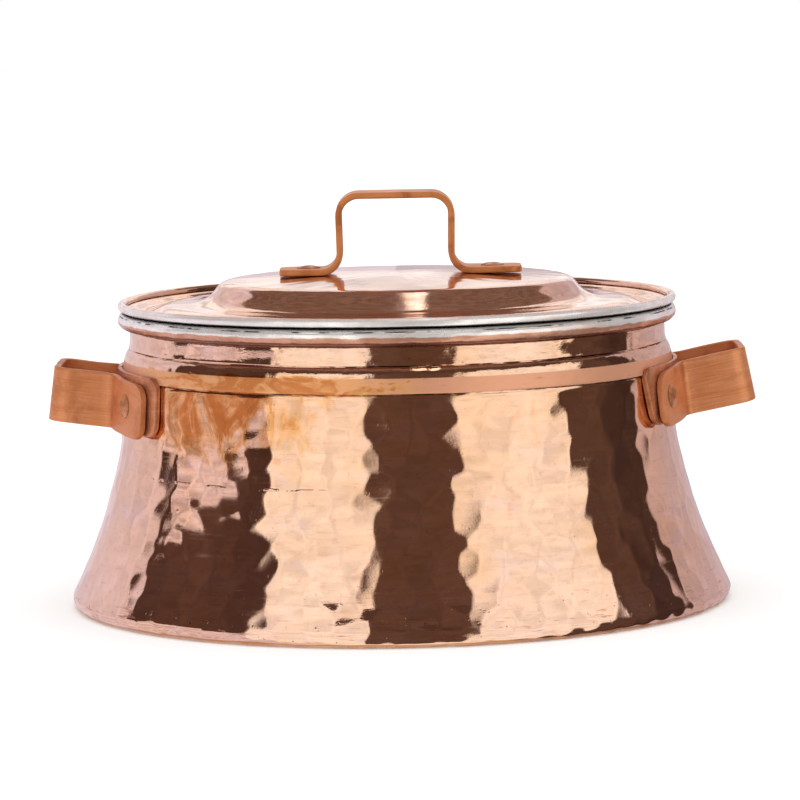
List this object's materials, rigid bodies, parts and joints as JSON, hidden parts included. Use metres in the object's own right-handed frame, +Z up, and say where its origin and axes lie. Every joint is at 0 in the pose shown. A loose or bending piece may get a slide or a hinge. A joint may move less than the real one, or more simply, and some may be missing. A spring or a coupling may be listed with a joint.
{
  "type": "copper casserole with lid",
  "caption": "Low flared casserole of hammered copper with riveted strap loop handles and a loose domed lid with a strap bail, tinned inside.",
  "frame": {"origin": "centre of the flat base, on the surface that the pot stands on", "axes": "+X towards the right side handle, -Y towards the viewer with the handles left and right, +Z up through the lid handle"},
  "size_m": [0.3029, 0.2843, 0.1764],
  "materials": {
    "hammered_copper": "polished and hammered, tinned inside",
    "brushed_copper": "satin, brushed along the strap",
    "copper_rivet": "hammered heads",
    "steel_wire": "drawn"
  },
  "bodies": {
    "pot": {"pot_body": "hammered_copper", "rim_wire": "steel_wire", "left_handle": "brushed_copper", "left_handle_plate": "brushed_copper", "left_front_rivet": "copper_rivet", "left_rear_rivet": "copper_rivet", "right_handle": "brushed_copper", "right_handle_plate": "brushed_copper", "right_front_rivet": "copper_rivet", "right_rear_rivet": "copper_rivet"},
    "lid": {"lid": "hammered_copper", "lid_edge_wire": "steel_wire", "lid_handle": "brushed_copper", "lid_left_rivet": "copper_rivet", "lid_right_rivet": "copper_rivet"}
  },
  "joints": [
    {"name": "lid_lift", "type": "slide", "parent": "pot", "child": "lid", "axis": [0, 0, 1], "range_m": [0, 0.15]}
  ]
}
